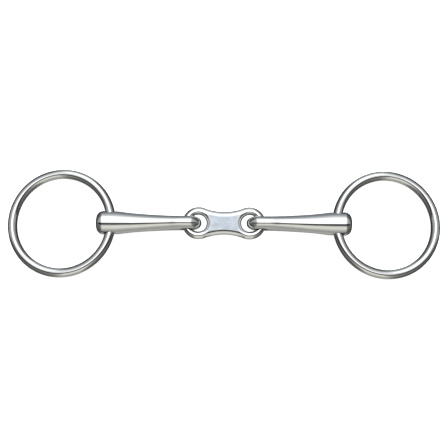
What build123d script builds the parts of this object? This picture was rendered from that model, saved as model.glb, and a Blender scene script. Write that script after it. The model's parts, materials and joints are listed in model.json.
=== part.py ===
from build123d import *
import os
from math import asin, atan2, cos, degrees, hypot, sin, sqrt

# Double-jointed loose-ring snaffle bit, lying flat. Millimetres, +X along the bit, +Z up, floor at z = 0.
# Each side is a mirror image of the other, so the shapes below are made once for side = -1 and once for 1.

# driving dimensions: rings
WIRE_R = 2.9
RING_R = 31.0  # of the wire's centre line

# driving dimensions: mouthpiece bars (cannons), measured from the centre of their inner eye
BORE_AT = 47.4  # the bore that the ring runs in
END_AT = 55.9  # the flat outer end
BAR_R = 7.3  # at the bore
END_ROUNDING = 4.3
BORE_R = 3.7
BORE_LIP = 0.4
FULL_TO = 42.7  # the taper starts here
MID_TAPER = (38.0, 6.5)  # distance from the eye, radius
ROUND_TO = 33.0  # the bar is round from its outer end to here
ROUND_R = 5.95
TAPER_SLOPE = 0.09  # of the side, where the neck begins

# driving dimensions: the neck, where the bar narrows towards its eye but grows taller
NECK = [  # distance from the eye, half width, half height
    (ROUND_TO, ROUND_R, ROUND_R),
    (28.0, 5.53, 5.8),
    (20.0, 5.0, 6.0),
    (12.0, 4.57, 6.6),
    (5.0, 4.3, 7.3),
]

# driving dimensions: the eye at the inner end of each bar, a thick disc with a rounded rim and a flared hole
NOSE_AT = -1.3  # the disc's own centre, seen from the centre of its hole
NOSE_R = 7.6
NOSE_CORE_R = 3.7  # the disc is flat this far out, and its rim is rounded from there
EYE_WIDTH = 8.8
EYE_HOLE_R = 3.2
EYE_WALL = 3.0  # the straight stretch of the hole's wall
EYE_MOUTH_R = 5.0
NECK_END = (NOSE_AT, 4.25, 7.5)

# driving dimensions: centre link
LINK_THICKNESS = 4.6
LINK_EDGE = 2.1  # rounding of every edge
LOBE_AT = 15.65
LOBE_R = 10.1
LINK_HOLE_AT = 15.9
LINK_HOLE_R = 5.25
WAIST = 7.15  # half the link's width at its middle
PIVOT_AT = 22.8  # the axis of each bar's eye, from the middle of the bit

# how the bit lies: each bar rests on its eye and its thick end, each ring on its far side
CORNER_AT = END_AT - END_ROUNDING
END_FLAT_R = BAR_R - END_ROUNDING
REST_SPAN = CORNER_AT - NOSE_AT
BAR_TILT = asin((NOSE_R - END_ROUNDING) / hypot(REST_SPAN, END_FLAT_R)) - atan2(END_FLAT_R, REST_SPAN)
PIVOT_Z = NOSE_R + NOSE_AT * sin(BAR_TILT)
BORE_Z = PIVOT_Z - BORE_AT * sin(BAR_TILT)
WIRE_BOW = RING_R - sqrt(RING_R**2 - BAR_R**2)  # how far the wire bends away inside the bore
RING_ARM = RING_R - WIRE_BOW / 2  # from the bore's axis to the ring's centre
RING_TILT = asin((BORE_Z - WIRE_R) / (RING_ARM + RING_R))


def bar_plane(side):
    """The plane that a bar is drawn on: x out along the bar from its eye, z up."""
    return Plane(
        origin=(side * PIVOT_AT, 0, PIVOT_Z),
        x_dir=(side * cos(BAR_TILT), 0, -sin(BAR_TILT)),
        z_dir=(side * sin(BAR_TILT), 0, cos(BAR_TILT)),
    )


def across_bar(plane, distance):
    """The plane square to a bar at a distance from its eye: x across the bar."""
    middle = plane.from_local_coords((distance, 0, 0))
    return Plane(origin=middle, x_dir=plane.y_dir, z_dir=plane.x_dir)


def make_cannon(side):
    plane = bar_plane(side)
    along = Axis(plane.origin, plane.x_dir)
    through_eye = Axis(plane.origin, plane.y_dir)
    through_nose = Axis(plane.from_local_coords((NOSE_AT, 0, 0)), plane.y_dir)
    with BuildPart() as cannon:
        # the round outer half, turned about the bar's own axis
        with BuildSketch(plane):
            with BuildLine():
                Line((ROUND_TO, 0), (END_AT, 0))
                Line((END_AT, 0), (END_AT, END_FLAT_R))
                CenterArc((CORNER_AT, END_FLAT_R), END_ROUNDING, start_angle=0, arc_size=90)
                Line((CORNER_AT, BAR_R), (FULL_TO, BAR_R))
                Spline(
                    (FULL_TO, BAR_R),
                    MID_TAPER,
                    (ROUND_TO, ROUND_R),
                    tangents=[(-1, 0), (-1, -TAPER_SLOPE)],
                )
                Line((ROUND_TO, ROUND_R), (ROUND_TO, 0))
            make_face()
        revolve(axis=along)

        # the neck
        for distance, half_width, half_height in (*NECK, NECK_END):
            with BuildSketch(across_bar(plane, distance)):
                Ellipse(half_width, half_height)
        loft()

        # the nose, turned about its own centre
        with BuildSketch(plane):
            with BuildLine():
                core = (NOSE_AT + NOSE_CORE_R, EYE_WIDTH / 2)
                Line((NOSE_AT, 0), (NOSE_AT, EYE_WIDTH / 2))
                Line((NOSE_AT, EYE_WIDTH / 2), core)
                EllipticalCenterArc(
                    (NOSE_AT + NOSE_CORE_R, 0),
                    NOSE_R - NOSE_CORE_R,
                    EYE_WIDTH / 2,
                    start_angle=0,
                    arc_size=90,
                )
                Line((NOSE_AT + NOSE_R, 0), (NOSE_AT, 0))
            make_face()
            mirror(about=Plane.XZ)
        revolve(axis=through_nose)

        # the hole, flared towards both faces
        with BuildSketch(plane):
            with BuildLine():
                mouth = (EYE_MOUTH_R, EYE_WIDTH / 2)
                Line((0, 0), (EYE_HOLE_R, 0))
                Line((EYE_HOLE_R, 0), (EYE_HOLE_R, EYE_WALL / 2))
                Spline((EYE_HOLE_R, EYE_WALL / 2), mouth, tangents=[(0, 1), (1, 0)])
                Line(mouth, (EYE_MOUTH_R, EYE_WIDTH))
                Line((EYE_MOUTH_R, EYE_WIDTH), (0, EYE_WIDTH))
                Line((0, EYE_WIDTH), (0, 0))
            make_face()
            mirror(about=Plane.XZ)
        revolve(axis=through_eye, mode=Mode.SUBTRACT)

        # the bore for the ring
        bore_middle = plane.from_local_coords((BORE_AT, 0, 0))
        with BuildSketch(Plane(bore_middle, x_dir=plane.x_dir, z_dir=plane.y_dir)):
            Circle(BORE_R)
        extrude(amount=2 * BAR_R, both=True, mode=Mode.SUBTRACT)
        mouths = cannon.edges(Select.LAST).filter_by(GeomType.LINE, reverse=True)
        fillet(mouths, BORE_LIP)
    return cannon


def make_ring(side):
    bore_middle = bar_plane(side).from_local_coords((BORE_AT, 0, 0))
    reach = Vector(side * cos(RING_TILT), 0, -sin(RING_TILT))
    centre = bore_middle + reach * RING_ARM
    with BuildPart() as ring:
        with BuildSketch(Plane(centre, x_dir=reach, z_dir=(0, 1, 0))):
            with Locations((RING_R, 0)):
                Circle(WIRE_R)
        revolve(axis=Axis(centre, reach.cross(Vector(0, 1, 0))))
    return ring


with BuildPart() as centre_link:
    waist_r = (LOBE_AT**2 + WAIST**2 - LOBE_R**2) / (2 * (LOBE_R - WAIST))
    lobe_share = LOBE_R / (LOBE_R + waist_r)
    meet_x = LOBE_AT * (1 - lobe_share)
    meet_y = lobe_share * (WAIST + waist_r)
    with BuildSketch(Plane.XY.offset(PIVOT_Z)):
        with BuildLine():
            ThreePointArc((-meet_x, meet_y), (0, WAIST), (meet_x, meet_y))
            ThreePointArc((meet_x, meet_y), (LOBE_AT + LOBE_R, 0), (meet_x, -meet_y))
            ThreePointArc((meet_x, -meet_y), (0, -WAIST), (-meet_x, -meet_y))
            ThreePointArc((-meet_x, -meet_y), (-LOBE_AT - LOBE_R, 0), (-meet_x, meet_y))
        make_face()
        with Locations((-LINK_HOLE_AT, 0), (LINK_HOLE_AT, 0)):
            Circle(LINK_HOLE_R, mode=Mode.SUBTRACT)
    extrude(amount=LINK_THICKNESS / 2, both=True)
    fillet(centre_link.faces().filter_by(Axis.Z).edges(), LINK_EDGE)

os.makedirs("parts", exist_ok=True)
centre_link.part.label = "centre_link"
export_step(centre_link.part, "parts/centre_link.step")
for side, word in ((-1, "left"), (1, "right")):
    cannon = make_cannon(side)
    cannon.part.label = f"cannon_{word}"
    export_step(cannon.part, f"parts/cannon_{word}.step")
    ring = make_ring(side)
    ring.part.label = f"ring_{word}"
    export_step(ring.part, f"parts/ring_{word}.step")

bore = bar_plane(1).from_local_coords((BORE_AT, 0, 0))
print("eye axis", (PIVOT_AT, 0, PIVOT_Z))
print("bore axis", tuple(bore))
print("tilts", degrees(BAR_TILT), degrees(RING_TILT))
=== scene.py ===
"""Looks of a double-jointed loose-ring snaffle bit in polished stainless steel, lying on a pale table.

Every length is in metres, in the frame of the CAD model. The steel pieces are skinned here over formulas for
their shapes, because polished metal shows every facet, and each one stands for its CAD node.
"""

import json
import math

import bpy
import numpy as np
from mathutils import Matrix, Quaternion, Vector


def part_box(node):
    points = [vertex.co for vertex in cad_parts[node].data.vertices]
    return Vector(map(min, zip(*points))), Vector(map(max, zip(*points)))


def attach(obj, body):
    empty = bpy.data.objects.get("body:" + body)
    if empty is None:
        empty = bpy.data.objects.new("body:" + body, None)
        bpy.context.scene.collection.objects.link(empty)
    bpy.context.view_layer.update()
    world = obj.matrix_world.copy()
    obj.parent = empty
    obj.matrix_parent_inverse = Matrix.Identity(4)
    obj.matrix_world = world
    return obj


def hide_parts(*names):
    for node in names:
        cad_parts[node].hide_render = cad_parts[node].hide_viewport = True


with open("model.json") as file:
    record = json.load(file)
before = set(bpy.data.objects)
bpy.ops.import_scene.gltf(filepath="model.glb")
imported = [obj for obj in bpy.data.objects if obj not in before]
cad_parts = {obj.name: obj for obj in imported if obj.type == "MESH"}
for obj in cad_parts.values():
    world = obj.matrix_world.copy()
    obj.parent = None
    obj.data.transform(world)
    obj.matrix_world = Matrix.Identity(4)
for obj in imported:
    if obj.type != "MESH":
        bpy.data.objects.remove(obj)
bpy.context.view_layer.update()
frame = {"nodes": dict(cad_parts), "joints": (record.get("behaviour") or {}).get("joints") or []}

MM = 0.001
joints = {joint["name"]: joint for joint in frame["joints"]}
fold_point = np.array(joints["fold_right"]["pos_m"])
bore_point = np.array(joints["swing_right"]["pos_m"])
link_low, link_high = (np.array(corner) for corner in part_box("centre_link"))
_, ring_high = (np.array(corner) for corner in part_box("ring_right"))


# ---------------------------------------------------------------- skinning a formula


def slope(field, points, step=0.01 * MM):
    """The gradient of a field at each point, by central differences."""
    columns = []
    for axis in range(3):
        shift = np.zeros(3)
        shift[axis] = step
        columns.append((field(points + shift) - field(points - shift)) / (2 * step))
    return np.stack(columns, axis=1)


def settle(field, points, rounds=4):
    """Moves each point along the gradient onto the surface where the field is zero."""
    for _ in range(rounds):
        gradient = slope(field, points)
        length_2 = np.maximum((gradient**2).sum(axis=1), 1e-9)
        points = points - gradient * (field(points) / length_2)[:, None]
    return points


def net(field, low, high, cell):
    """The surface where a field is zero: a point in each grid cell that it crosses, and four-sided faces."""
    margin = 2.3 * cell
    low, high = np.array(low) - margin, np.array(high) + margin
    counts = np.ceil((high - low) / cell).astype(int) + 1
    axes = [low[a] + cell * np.arange(counts[a]) for a in range(3)]
    grid = np.stack(np.meshgrid(*axes, indexing="ij"), axis=-1)
    inside = (field(grid.reshape(-1, 3)) < 0).reshape(counts)
    corners = [
        inside[i : counts[0] - 1 + i, j : counts[1] - 1 + j, k : counts[2] - 1 + k]
        for i in (0, 1)
        for j in (0, 1)
        for k in (0, 1)
    ]
    total = sum(corner.astype(int) for corner in corners)
    crossed = (total > 0) & (total < 8)
    number = np.full(crossed.shape, -1)
    number[crossed] = np.arange(crossed.sum())
    points = low + cell * (np.argwhere(crossed) + 0.5)
    faces = []
    for axis in range(3):
        one, two = [a for a in range(3) if a != axis]
        along = [slice(None)] * 3
        along[axis] = slice(0, -1)
        beyond = [slice(None)] * 3
        beyond[axis] = slice(1, None)
        change = inside[tuple(along)].astype(int) - inside[tuple(beyond)]
        changes_at = np.argwhere(change != 0)
        sign = change[change != 0]
        ring = []
        for back_one, back_two in ((1, 1), (0, 1), (0, 0), (1, 0)):
            around = changes_at.copy()
            around[:, one] -= back_one
            around[:, two] -= back_two
            ring.append(number[tuple(around.T)])
        quads = np.stack(ring, axis=1)
        turned = (sign < 0) != (axis == 1)
        quads[turned] = quads[turned][:, ::-1]
        faces.append(quads)
    return points, np.concatenate(faces)


def evened(field, points, faces, rounds=12, pull=0.6):
    """Spreads the points evenly: each is pulled to the middle of its neighbours, then settles."""
    edges = np.concatenate([faces[:, [0, 1]], faces[:, [1, 2]], faces[:, [2, 3]], faces[:, [3, 0]]])
    edges = np.unique(np.sort(edges, axis=1), axis=0)
    count = np.bincount(edges.ravel(), minlength=len(points))[:, None]
    points = settle(field, points)
    for _ in range(rounds):
        total = np.zeros_like(points)
        np.add.at(total, edges[:, 0], points[edges[:, 1]])
        np.add.at(total, edges[:, 1], points[edges[:, 0]])
        points = settle(field, points + pull * (total / count - points), rounds=1)
    return settle(field, points, rounds=3)


def mesh_object(name, points, faces, normals):
    mesh = bpy.data.meshes.new(name)
    mesh.from_pydata(points.tolist(), [], faces.tolist())
    mesh.validate()
    mesh.shade_smooth()
    mesh.normals_split_custom_set_from_vertices(normals.tolist())
    piece = bpy.data.objects.new(name, mesh)
    bpy.context.scene.collection.objects.link(piece)
    return piece


def skin(name, field, low, high, cell, place=None):
    """A piece skinned over a field in its own axes, then placed by a 3x4 matrix."""
    points, faces = net(field, low, high, cell)
    points = evened(field, points, faces)
    normals = slope(field, points)
    normals /= np.linalg.norm(normals, axis=1)[:, None]
    if place is not None:
        if np.linalg.det(place[:, :3]) < 0:
            faces = faces[:, ::-1]
        points = points @ place[:, :3].T + place[:, 3]
        normals = normals @ place[:, :3].T
    return mesh_object(name, points, faces, normals)


# ---------------------------------------------------------------- shapes


def rounded_max(radius, *fields):
    """Where every field is negative, with a rounding of the given radius along the edges."""
    raised = [f + radius for f in fields]
    outside = np.sqrt(sum(np.maximum(f, 0) ** 2 for f in raised))
    return outside + np.minimum(np.maximum.reduce(raised), 0) - radius


def through(places, values):
    """A smooth function through a few places and values, level beyond them."""
    places, values = np.array(places), np.array(values)
    gaps = np.diff(places)
    rises = np.diff(values) / gaps
    tangents = np.zeros(len(places))
    tangents[1:-1] = (rises[:-1] * gaps[1:] + rises[1:] * gaps[:-1]) / (gaps[:-1] + gaps[1:])

    def value(at):
        at = np.clip(at, places[0], places[-1])
        i = np.clip(np.searchsorted(places, at) - 1, 0, len(gaps) - 1)
        t = (at - places[i]) / gaps[i]
        return (
            values[i] * (1 + 2 * t) * (1 - t) ** 2
            + values[i + 1] * t**2 * (3 - 2 * t)
            + gaps[i] * tangents[i] * t * (1 - t) ** 2
            - gaps[i] * tangents[i + 1] * t**2 * (1 - t)
        )

    return value


# mouthpiece bar, in its own axes: the eye's centre at 0, x out along the bar, y along the eye's axis
BORE_AT = float(np.linalg.norm(bore_point - fold_point))
END_AT = BORE_AT + 8.5 * MM
BAR_R = 7.3 * MM
END_ROUNDING = 4.3 * MM
BORE_R = 3.7 * MM
BORE_LIP = 0.6 * MM
EYE_HOLE_R = 3.2 * MM
EYE_LIP = 0.5 * MM
FLARE_R = 6.0 * MM
FLARE_DEPTH = 5.6 * MM  # a little past the face, so that the flare meets the face at an angle
NOSE_AT = -1.3 * MM
NOSE_R = 7.6 * MM
SECTIONS_AT = [NOSE_AT, 5.0 * MM, 12.0 * MM, 20.0 * MM, 28.0 * MM, 33.0 * MM, 38.0 * MM, 43.0 * MM, 47.0 * MM]
half_width = through(
    SECTIONS_AT,
    [4.4 * MM, 4.33 * MM, 4.57 * MM, 5.0 * MM, 5.53 * MM, 5.95 * MM, 6.5 * MM, 7.12 * MM, BAR_R],
)
half_height = through(
    SECTIONS_AT,
    [NOSE_R, 7.35 * MM, 6.6 * MM, 6.0 * MM, 5.8 * MM, 5.95 * MM, 6.5 * MM, 7.12 * MM, BAR_R],
)
squareness = through([NOSE_AT, 26.0 * MM], [2.3, 2.0])  # of the section; 2 is an ellipse


def bar_field(p):
    x, y, z = p.T
    # past the nose's centre the section turns about it, so that the nose is round seen from the side
    out = np.hypot(np.minimum(x - NOSE_AT, 0), z)
    wide, tall, power = half_width(x), half_height(x), squareness(x)
    # how large the point's own section is beside the bar's, never quite zero
    size = ((np.abs(y) / wide) ** power + (out / tall) ** power) ** (1 / power) + 1e-9
    side = (size - 1) * np.sqrt(y**2 + out**2 + 1e-12) / size
    bar = rounded_max(END_ROUNDING, side, x - END_AT)
    bore = BORE_R - np.hypot(x - BORE_AT, z)
    bar = rounded_max(BORE_LIP, bar, bore)
    # the eye's hole, flared towards both faces; past the flare it falls away faster, to leave the face alone
    flare = FLARE_R - EYE_HOLE_R
    short_of_rim = FLARE_R - np.hypot(x, z)
    wall = np.hypot(np.maximum(short_of_rim / flare, 0), y / FLARE_DEPTH)
    hole = (wall - 1) * flare + 2 * np.minimum(short_of_rim, 0)
    return rounded_max(EYE_LIP, bar, hole)


def bar_place(side):
    """From the bar's own axes to the row's, for the left (-1) or right (1) bar."""
    along = (bore_point - fold_point) / BORE_AT
    up = np.array([-along[2], 0, along[0]])
    place = np.stack([along, [0, 1, 0], up, fold_point], axis=1)
    place[0] *= side
    return place


# centre link, a plate with an eye at each end
LINK_MIDDLE_Z = float(link_low[2] + link_high[2]) / 2
LINK_HALF = float(link_high[2] - link_low[2]) / 2
LINK_EDGE = 2.2 * MM
OUTLINE_REACH = 3.8 * MM
HOLE_REACH = 3.1 * MM
LINK_CROWN = 0.12 * MM  # how far the faces fall away by the waist
LOBE_R = float(link_high[1])
LOBE_AT = float(link_high[0]) - LOBE_R
HOLE_AT = 15.9 * MM
HOLE_R = 5.25 * MM
WAIST = 7.15 * MM
WAIST_R = (LOBE_AT**2 + WAIST**2 - LOBE_R**2) / (2 * (LOBE_R - WAIST))


def link_face_height(y):
    """Half the plate's thickness at a distance from its middle line."""
    return LINK_HALF - LINK_CROWN * (y / WAIST) ** 2


def link_field(p):
    x, y, z = np.abs(p[:, 0]), np.abs(p[:, 1]), p[:, 2] - LINK_MIDDLE_Z
    lobe = np.hypot(x - LOBE_AT, y) - LOBE_R
    waist = WAIST_R - np.hypot(x, y - WAIST - WAIST_R)
    # the lobe's arc and the waist's arc meet on the line between their centres
    beyond = x * (WAIST + WAIST_R) + (y - WAIST - WAIST_R) * LOBE_AT > 0
    outline = np.where(beyond, lobe, waist)
    hole = HOLE_R - np.hypot(x - HOLE_AT, y)
    # the edges are rounded over more of the face than of the thickness
    face = np.abs(z) - link_face_height(y)
    return rounded_max(LINK_EDGE, outline * LINK_EDGE / OUTLINE_REACH, hole * LINK_EDGE / HOLE_REACH, face)


# loose ring, a round wire; the steps divide its mesh along the wire and round it
WIRE_R = 2.9 * MM
RING_STEPS = 360
WIRE_STEPS = 48


def ring_piece(name, side):
    """A round wire bent into a ring, with its middle and tilt taken from the CAD ring's box and the bore."""
    ring_r = float(ring_high[1]) - WIRE_R
    # the wire curves on its way through the bore, so it lies half of that curve's depth off the bore's middle
    curve_depth = ring_r - math.sqrt(ring_r**2 - BAR_R**2)
    span = 2 * ring_r - curve_depth / 2
    tilt = math.asin((bore_point[2] - WIRE_R) / span)
    reach = np.array([math.cos(tilt), 0, -math.sin(tilt)])
    across = np.array([0, 1.0, 0])
    up = np.array([math.sin(tilt), 0, math.cos(tilt)])
    centre = bore_point + reach * (span - ring_r)
    around = np.arange(RING_STEPS) * 2 * math.pi / RING_STEPS
    section = np.arange(WIRE_STEPS) * 2 * math.pi / WIRE_STEPS
    a, s = (m.ravel() for m in np.meshgrid(around, section, indexing="ij"))
    out = np.outer(np.cos(a), reach) + np.outer(np.sin(a), across)
    normals = out * np.cos(s)[:, None] + np.outer(np.sin(s), up)
    points = centre + out * ring_r + normals * WIRE_R
    i, j = (m.ravel() for m in np.meshgrid(np.arange(RING_STEPS), np.arange(WIRE_STEPS), indexing="ij"))
    next_i, next_j = (i + 1) % RING_STEPS, (j + 1) % WIRE_STEPS
    here, beyond = i * WIRE_STEPS, next_i * WIRE_STEPS
    quads = np.stack([here + j, beyond + j, beyond + next_j, here + next_j], axis=1)
    mirror = np.array([side, 1, 1])
    if side < 0:
        quads = quads[:, ::-1]
    return mesh_object(name, points * mirror, quads, normals * mirror)


# ---------------------------------------------------------------- steel

POLISH_ROUGHNESS = (0.04, 0.075)
POLISH_DULL, POLISH_BRIGHT = (0.63, 0.64, 0.65), (0.72, 0.725, 0.725)
SATIN_ROUGHNESS = (0.2, 0.34)  # on top of the polish's
# painted reflection: the satin flats' dark blue-grey stands in for the blue-grey that they reflect, on top of
# their real satin finish
SATIN_PAINTED_REFLECTION_DULL, SATIN_PAINTED_REFLECTION_BRIGHT = (0.30, 0.338, 0.385), (0.395, 0.427, 0.462)
LINK_EDGE_COLOUR = (0.66, 0.67, 0.68)
HAIRLINE_STRENGTH, HAIRLINE_DEPTH = 0.06, 0.02 * MM
GRAIN_STRENGTH, GRAIN_DEPTH = 0.25, 0.03 * MM
# fineness of the noise, in waves to the metre
POLISH_CLOUDS, POLISH_HAZE, HAIRLINES = 160, 420, 900
SATIN_MOTTLING, SATIN_HAZE, SATIN_GRAIN, LINK_EDGE_HAZE = 210, 330, 420, 600
SATIN_DEPTH = 0.10 * MM  # below the flat face, where the satin has given way to polish


def new_material(name):
    material = bpy.data.materials.new(name)
    material.use_nodes = True
    nodes, links = material.node_tree.nodes, material.node_tree.links
    return material, nodes, links, nodes["Principled BSDF"]


def noise(nodes, links, scale, stretch=(1, 1, 1), detail=3.0, roughness=0.5):
    """A noise texture in the object's own coordinates."""
    where = nodes.new("ShaderNodeTexCoord")
    mapping = nodes.new("ShaderNodeMapping")
    mapping.inputs["Scale"].default_value = stretch
    texture = nodes.new("ShaderNodeTexNoise")
    texture.inputs["Scale"].default_value = scale
    texture.inputs["Detail"].default_value = detail
    texture.inputs["Roughness"].default_value = roughness
    links.new(where.outputs["Object"], mapping.inputs["Vector"])
    links.new(mapping.outputs["Vector"], texture.inputs["Vector"])
    return texture.outputs["Fac"]


def spread(nodes, links, value, low, high):
    """Stretches the middle of a noise value over low to high."""
    ranged = nodes.new("ShaderNodeMapRange")
    ranged.inputs["From Min"].default_value = 0.3
    ranged.inputs["From Max"].default_value = 0.7
    ranged.inputs["To Min"].default_value = low
    ranged.inputs["To Max"].default_value = high
    links.new(value, ranged.inputs["Value"])
    return ranged.outputs["Result"]


def mixed(nodes, links, share, low, high):
    """A colour between two, by a share."""
    mix = nodes.new("ShaderNodeMix")
    mix.data_type = "RGBA"
    mix.inputs["A"].default_value = (*low, 1)
    mix.inputs["B"].default_value = (*high, 1)
    links.new(share, mix.inputs["Factor"])
    return mix.outputs["Result"]


def maths(nodes, links, operation, *values):
    """The result of one operation on one or two values."""
    node = nodes.new("ShaderNodeMath")
    node.operation = operation
    for socket, value in zip(node.inputs, values):
        links.new(value, socket)
    return node.outputs["Value"]


def raise_grain(nodes, links, shader, height, strength, depth):
    """Fine relief in a surface, by a height from 0 to 1."""
    bump = nodes.new("ShaderNodeBump")
    bump.inputs["Strength"].default_value = strength
    bump.inputs["Distance"].default_value = depth
    links.new(height, bump.inputs["Height"])
    links.new(bump.outputs["Normal"], shader.inputs["Normal"])


def polished_steel(name, stretch):
    """Buffed stainless steel: a cloudy polish, with hairlines from the buffing wheel along the stretch."""
    material, nodes, links, shader = new_material(name)
    shader.inputs["Metallic"].default_value = 1.0
    colour = mixed(nodes, links, noise(nodes, links, POLISH_CLOUDS), POLISH_DULL, POLISH_BRIGHT)
    links.new(colour, shader.inputs["Base Color"])
    rough = spread(nodes, links, noise(nodes, links, POLISH_HAZE), *POLISH_ROUGHNESS)
    links.new(rough, shader.inputs["Roughness"])
    hairlines = noise(nodes, links, HAIRLINES, stretch, detail=2.0)
    raise_grain(nodes, links, shader, hairlines, HAIRLINE_STRENGTH, HAIRLINE_DEPTH)
    return material


def satin_link_steel_painted_reflection(name):
    """The centre link: satin flat faces with a faint mottling, whose dark blue-grey colour is a painted
    reflection, and edges polished by the buffing wheel.
    """
    material, nodes, links, shader = new_material(name)
    shader.inputs["Metallic"].default_value = 1.0
    flat = nodes.new("ShaderNodeAttribute")
    flat.attribute_name = "flatness"
    haze = spread(nodes, links, noise(nodes, links, SATIN_HAZE, detail=5.0), *SATIN_ROUGHNESS)
    satin = maths(nodes, links, "MULTIPLY", flat.outputs["Fac"], haze)
    polish = spread(nodes, links, noise(nodes, links, LINK_EDGE_HAZE), *POLISH_ROUGHNESS)
    links.new(maths(nodes, links, "ADD", satin, polish), shader.inputs["Roughness"])
    mottling = noise(nodes, links, SATIN_MOTTLING, detail=4.0)
    # the flats' colour is a painted reflection in dark blue-grey, mottled at random; the edges keep the
    # steel's own grey
    mottled_painted_reflection = mixed(nodes, links, mottling, SATIN_PAINTED_REFLECTION_DULL, SATIN_PAINTED_REFLECTION_BRIGHT)
    colour = nodes.new("ShaderNodeMix")
    colour.data_type = "RGBA"
    colour.inputs["A"].default_value = (*LINK_EDGE_COLOUR, 1)
    links.new(mottled_painted_reflection, colour.inputs["B"])
    links.new(flat.outputs["Fac"], colour.inputs["Factor"])
    links.new(colour.outputs["Result"], shader.inputs["Base Color"])
    grain = noise(nodes, links, SATIN_GRAIN, detail=6.0)
    raise_grain(nodes, links, shader, grain, GRAIN_STRENGTH, GRAIN_DEPTH)
    return material


bar_steel = polished_steel("bar_steel_polished", (0.08, 1, 1))
ring_steel = polished_steel("ring_steel_polished", (1, 1, 1))
link_steel = satin_link_steel_painted_reflection("link_steel_satin_painted_reflection")


# ---------------------------------------------------------------- pieces


def dress(piece, node, body, material):
    """Gives a piece its steel and its body, and stands it in for a CAD node."""
    piece.data.materials.append(material)
    for polygon in frame["nodes"][node].data.polygons:
        polygon.material_index = 0
    frame["nodes"][node].data.materials.clear()
    frame["nodes"][node].data.materials.append(material)
    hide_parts(node)
    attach(piece, body)


CELL = 0.45 * MM
for side, word in ((-1, "left"), (1, "right")):
    bar = skin(
        f"bar_{word}",
        bar_field,
        (NOSE_AT - NOSE_R, -BAR_R, -NOSE_R),
        (END_AT, BAR_R, NOSE_R),
        CELL,
        bar_place(side),
    )
    dress(bar, f"cannon_{word}", f"cannon_{word}", bar_steel)
    ring = ring_piece(f"loose_ring_{word}", side)
    dress(ring, f"ring_{word}", f"ring_{word}", ring_steel)

link = skin("french_link", link_field, link_low, link_high, CELL)
points = np.array([v.co for v in link.data.vertices])
depth = link_face_height(points[:, 1]) - np.abs(points[:, 2] - LINK_MIDDLE_Z)
flatness = link.data.attributes.new("flatness", "FLOAT", "POINT")
flatness.data.foreach_set("value", np.clip(1 - depth / SATIN_DEPTH, 0, 1).astype(np.float32))
dress(link, "centre_link", "centre_link", link_steel)


# ---------------------------------------------------------------- table, light and camera


def surface(name, corners, faces, material):
    """Something round the bit that the steel doesn't reflect."""
    piece = bpy.data.objects.new(name, bpy.data.meshes.new(name))
    piece.data.from_pydata(corners, [], faces)
    piece.data.materials.append(material)
    piece.visible_glossy = False
    bpy.context.scene.collection.objects.link(piece)
    return piece


def glowing_white(name, base, roughness, glow):
    """A matt grey that also glows white."""
    material, _, _, shader = new_material(name)
    shader.inputs["Base Color"].default_value = (base, base, base, 1)
    shader.inputs["Roughness"].default_value = roughness
    shader.inputs["Specular IOR Level"].default_value = 0.0
    shader.inputs["Emission Color"].default_value = (1, 1, 1, 1)
    shader.inputs["Emission Strength"].default_value = glow
    return material


# the table glows, as a light table does, so that only faint shadows fall on it
TABLE_HALF = 6
TABLE_GREY = 0.93
TABLE_GLOW = 0.85
table_white = glowing_white("table_white", base=TABLE_GREY, roughness=0.9, glow=TABLE_GLOW)
table_corners = [(x * TABLE_HALF, y * TABLE_HALF, 0) for x, y in ((-1, -1), (1, -1), (1, 1), (-1, 1))]
piece = surface("table", table_corners, [(0, 1, 2, 3)], table_white)

# a round white wall that lights nothing, so that low views end in white
WALL_R = 5.5
WALL_TOP = 9.0
WALL_SIDES = 64
backdrop_white = glowing_white("backdrop_white", base=0.0, roughness=0.5, glow=1.0)
turns = [2 * math.pi * k / WALL_SIDES for k in range(WALL_SIDES)]
circle = [(WALL_R * math.cos(turn), WALL_R * math.sin(turn)) for turn in turns]
wall_corners = [(x, y, z) for z in (0, WALL_TOP) for x, y in circle]
nexts = [(k + 1) % WALL_SIDES for k in range(WALL_SIDES)]
wall_faces = [(k, after, WALL_SIDES + after, WALL_SIDES + k) for k, after in enumerate(nexts)]
wall = surface("wall", wall_corners, wall_faces, backdrop_white)
wall.visible_diffuse = False
wall.visible_shadow = False

SOFTBOX_AT = (0.2, 0.5, 1.1)
SOFTBOX_SIZE = 1.2
SOFTBOX_WATTS = 6
softbox = bpy.data.lights.new("softbox", "AREA")
softbox.shape = "DISK"
softbox.size = SOFTBOX_SIZE
softbox.energy = SOFTBOX_WATTS
softbox_lamp = bpy.data.objects.new("softbox", softbox)
softbox_lamp.location = SOFTBOX_AT
softbox_lamp.rotation_mode = "QUATERNION"
softbox_lamp.rotation_quaternion = softbox_lamp.location.to_track_quat("Z", "Y")
softbox_lamp.visible_glossy = False
softbox_lamp.visible_camera = False
bpy.context.scene.collection.objects.link(softbox_lamp)

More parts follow.
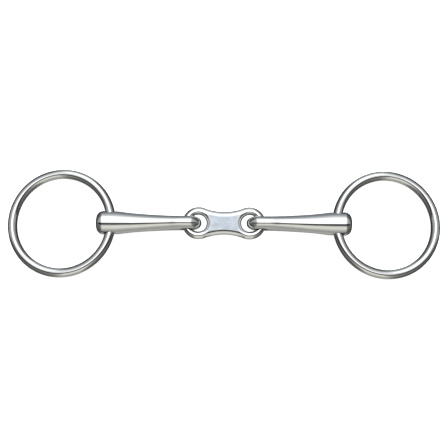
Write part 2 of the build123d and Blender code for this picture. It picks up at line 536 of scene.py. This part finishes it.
# light tent: brightness and colour by the angle from overhead, in degrees, positive beyond the bit.
# A white key lies beyond the bit and a cream fill before it, with a dark slit between them.
TENT = [
    (-180, 0.26, (1.00, 1.00, 1.00)),
    (-150, 0.38, (1.00, 1.00, 0.96)),
    (-132, 0.58, (1.00, 1.00, 0.95)),
    (-116, 0.50, (1.00, 1.00, 0.94)),
    (-99, 0.42, (1.00, 1.00, 0.93)),
    (-85, 0.54, (1.00, 1.00, 0.92)),
    (-72, 0.74, (1.00, 1.00, 0.91)),
    (-60, 0.98, (1.00, 1.00, 0.90)),
    (-42, 1.00, (1.00, 1.00, 0.90)),
    (-32, 0.60, (1.00, 1.00, 0.90)),
    (-26, 0.08, (1.00, 1.00, 0.96)),
    (-15, 0.06, (1.00, 1.00, 1.00)),
    (-8, 0.90, (0.98, 0.99, 1.00)),
    (-3, 2.20, (0.98, 0.99, 1.00)),
    (44, 2.20, (0.98, 0.99, 1.00)),
    (54, 1.25, (0.98, 0.99, 1.00)),
    (66, 0.88, (0.97, 0.99, 1.00)),
    (80, 0.60, (0.94, 0.98, 1.00)),
    (96, 0.36, (0.88, 0.95, 1.00)),
    (122, 0.28, (0.88, 0.95, 1.00)),
    (150, 0.20, (0.92, 0.97, 1.00)),
    (180, 0.26, (1.00, 1.00, 1.00)),
]
BRIGHTEST = max(brightness for _, brightness, _ in TENT)
# how much of it is left towards the two ends of the bit, by how far a ray leans along X
TENT_ENDS = [(0.0, 1.0), (0.22, 1.0), (0.32, 0.56), (0.42, 0.34), (0.6, 0.26), (0.85, 0.20), (1.0, 0.20)]


def ramp(nodes, links, value, stops):
    """A colour ramp over places from 0 to 1."""
    node = nodes.new("ShaderNodeValToRGB")
    elements = node.color_ramp.elements
    while len(elements) < len(stops):
        elements.new(0.5)
    for element, (position, colour) in zip(elements, stops):
        element.position = position
        element.color = (*colour, 1)
    links.new(value, node.inputs["Fac"])
    return node.outputs["Color"]


def light_tent():
    """The world's light: the tent's brightness across the bit times what is left of it along the bit."""
    world = bpy.data.worlds.new("light_tent")
    world.use_nodes = True
    nodes, links = world.node_tree.nodes, world.node_tree.links
    direction = nodes.new("ShaderNodeSeparateXYZ")
    links.new(nodes.new("ShaderNodeTexCoord").outputs["Generated"], direction.inputs["Vector"])
    angle = maths(nodes, links, "ARCTAN2", direction.outputs["Y"], direction.outputs["Z"])
    turn = nodes.new("ShaderNodeMapRange")
    turn.inputs["From Min"].default_value = -math.pi
    turn.inputs["From Max"].default_value = math.pi
    links.new(angle, turn.inputs["Value"])
    stops = [
        (degrees / 360 + 0.5, [brightness / BRIGHTEST * part for part in colour])
        for degrees, brightness, colour in TENT
    ]
    across = ramp(nodes, links, turn.outputs["Result"], stops)
    lean = maths(nodes, links, "ABSOLUTE", direction.outputs["X"])
    along = ramp(nodes, links, lean, [(leaning, [left] * 3) for leaning, left in TENT_ENDS])
    both = nodes.new("ShaderNodeMix")
    both.data_type = "RGBA"
    both.blend_type = "MULTIPLY"
    both.inputs["Factor"].default_value = 1
    links.new(across, both.inputs["A"])
    links.new(along, both.inputs["B"])
    background = nodes["Background"]
    background.inputs["Strength"].default_value = BRIGHTEST
    links.new(both.outputs["Result"], background.inputs["Color"])
    return world


bpy.context.scene.world = light_tent()
bpy.context.scene.view_settings.view_transform = "Standard"

# seen from almost straight above, at arm's length
CAMERA_DISTANCE = 0.50
CAMERA_ELEVATION = math.radians(80)
CAMERA_ROLL = math.radians(0.32)
VIEW_WIDTH = 0.2765
aim = Vector((0, -0.4 * MM, float(bore_point[2])))
back = Vector((0, -math.cos(CAMERA_ELEVATION), math.sin(CAMERA_ELEVATION)))
camera_data = bpy.data.cameras.new("camera")
camera_data.sensor_width = 36
camera_data.lens = camera_data.sensor_width * CAMERA_DISTANCE / VIEW_WIDTH
camera_data.clip_start = 0.01
camera = bpy.data.objects.new("camera", camera_data)
bpy.context.scene.collection.objects.link(camera)
camera.rotation_mode = "QUATERNION"
camera.location = aim + back * CAMERA_DISTANCE
camera.rotation_quaternion = Quaternion(back, CAMERA_ROLL) @ (-back).to_track_quat("-Z", "Y")
bpy.context.scene.camera = camera
